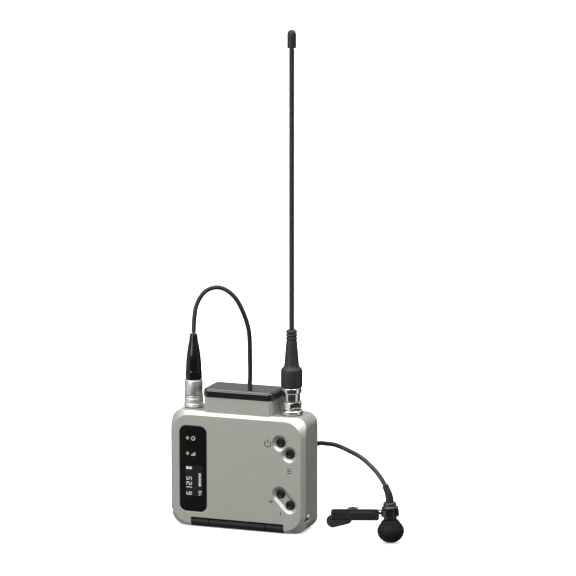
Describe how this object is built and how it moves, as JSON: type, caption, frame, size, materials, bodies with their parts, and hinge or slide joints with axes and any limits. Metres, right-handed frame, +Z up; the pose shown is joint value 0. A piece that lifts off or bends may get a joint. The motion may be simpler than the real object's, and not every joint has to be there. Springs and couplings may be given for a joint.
{
  "type": "wireless bodypack transmitter",
  "caption": "Metal bodypack radio transmitter with a whip antenna, side window, recessed buttons, bottom battery door and a lavalier microphone on a thin lead.",
  "frame": {"origin": "middle of the housing's base, on the surface that it stands on", "axes": "+X to the right across the face, +Y to the rear, +Z up along the antenna"},
  "size_m": [0.1101, 0.0572, 0.2257],
  "materials": {
    "painted_housing": "fine satin metallic paint",
    "glossy_black": "polished",
    "satin_black_plastic": "satin",
    "black_rubber": "smooth satin",
    "plated_metal": "bright plating",
    "dark_steel": "dark",
    "green_board": "solder mask",
    "gold_contact": "plated",
    "green_lamp": "clear tinted",
    "battery_case": "satin",
    "windscreen_mesh": "open cell"
  },
  "bodies": {
    "housing": {"antenna_boot": "black_rubber", "antenna_collar": "plated_metal", "antenna_jack": "plated_metal", "antenna_tip": "black_rubber", "antenna_whip": "black_rubber", "audio_lamp": "green_lamp", "battery": "battery_case", "battery_contact_left": "gold_contact", "battery_contact_right": "gold_contact", "battery_tray": "satin_black_plastic", "cord_coil": "black_rubber", "cord_lead_in": "black_rubber", "cord_lead_out": "black_rubber", "cord_tie": "satin_black_plastic", "cover_screw_1": "dark_steel", "cover_screw_2": "dark_steel", "cover_screw_3": "dark_steel", "cover_screw_4": "dark_steel", "display_module": "glossy_black", "display_window": "glossy_black", "front_case": "painted_housing", "hinge_knuckle_left": "satin_black_plastic", "hinge_knuckle_right": "satin_black_plastic", "hinge_pin": "dark_steel", "link_board": "green_board", "link_cap": "glossy_black", "main_board": "green_board", "mic_body": "satin_black_plastic", "mic_capsule": "dark_steel", "mic_relief": "black_rubber", "mic_socket": "plated_metal", "mic_socket_insert": "satin_black_plastic", "minus_key": "dark_steel", "plug_boot": "glossy_black", "plug_sleeve": "plated_metal", "plus_key": "dark_steel", "power_key": "dark_steel", "power_lamp": "green_lamp", "radio_shield": "plated_metal", "rear_cover": "painted_housing", "set_key": "dark_steel", "windscreen": "windscreen_mesh"},
    "power_button": {"power_button": "satin_black_plastic"},
    "set_button": {"set_button": "satin_black_plastic"},
    "plus_button": {"plus_button": "satin_black_plastic"},
    "minus_button": {"minus_button": "satin_black_plastic"},
    "door": {"battery_door": "satin_black_plastic"},
    "latch": {"door_latch": "satin_black_plastic"},
    "plug_ring": {"plug_ring": "plated_metal"},
    "antenna_nut": {"antenna_nut": "plated_metal"},
    "clip": {"clip_arm": "satin_black_plastic", "clip_pin": "dark_steel", "clip_spring": "dark_steel"},
    "jaw": {"clip_jaw": "satin_black_plastic"}
  },
  "joints": [
    {"name": "power_press", "type": "slide", "parent": "housing", "child": "power_button", "axis": [0, 1, 0], "range_m": [0, 0.0004], "stiffness_N_per_m": 1500},
    {"name": "set_press", "type": "slide", "parent": "housing", "child": "set_button", "axis": [0, 1, 0], "range_m": [0, 0.0004], "stiffness_N_per_m": 1500},
    {"name": "plus_press", "type": "slide", "parent": "housing", "child": "plus_button", "axis": [0, 1, 0], "range_m": [0, 0.0004], "stiffness_N_per_m": 1500},
    {"name": "minus_press", "type": "slide", "parent": "housing", "child": "minus_button", "axis": [0, 1, 0], "range_m": [0, 0.0004], "stiffness_N_per_m": 1500},
    {"name": "door_hinge", "type": "hinge", "parent": "housing", "child": "door", "pos_m": [0, -0.0073, 0.0021], "axis": [-1, 0, 0], "range_deg": [0, 105]},
    {"name": "latch_slide", "type": "slide", "parent": "door", "child": "latch", "axis": [0, 1, 0], "range_m": [0, 0.0012]},
    {"name": "plug_ring_spin", "type": "hinge", "parent": "housing", "child": "plug_ring", "pos_m": [-0.0241, 0, 0.056], "axis": [0, 0, 1], "continuous": true},
    {"name": "antenna_nut_spin", "type": "hinge", "parent": "housing", "child": "antenna_nut", "pos_m": [0.0228, 0, 0.0574], "axis": [0, 0, 1], "continuous": true},
    {"name": "clip_swivel", "type": "hinge", "parent": "housing", "child": "clip", "pos_m": [0.07156, -0.0067, 0.01349], "axis": [-0.0419, 0, 0.9991], "continuous": true},
    {"name": "jaw_hinge", "type": "hinge", "parent": "clip", "child": "jaw", "pos_m": [0.0544, -0.0073, 0.01187], "axis": [-0.0419, 0, 0.9991], "range_deg": [0, 14], "stiffness_Nm_per_rad": 0.02, "springref_deg": -8.59}
  ]
}
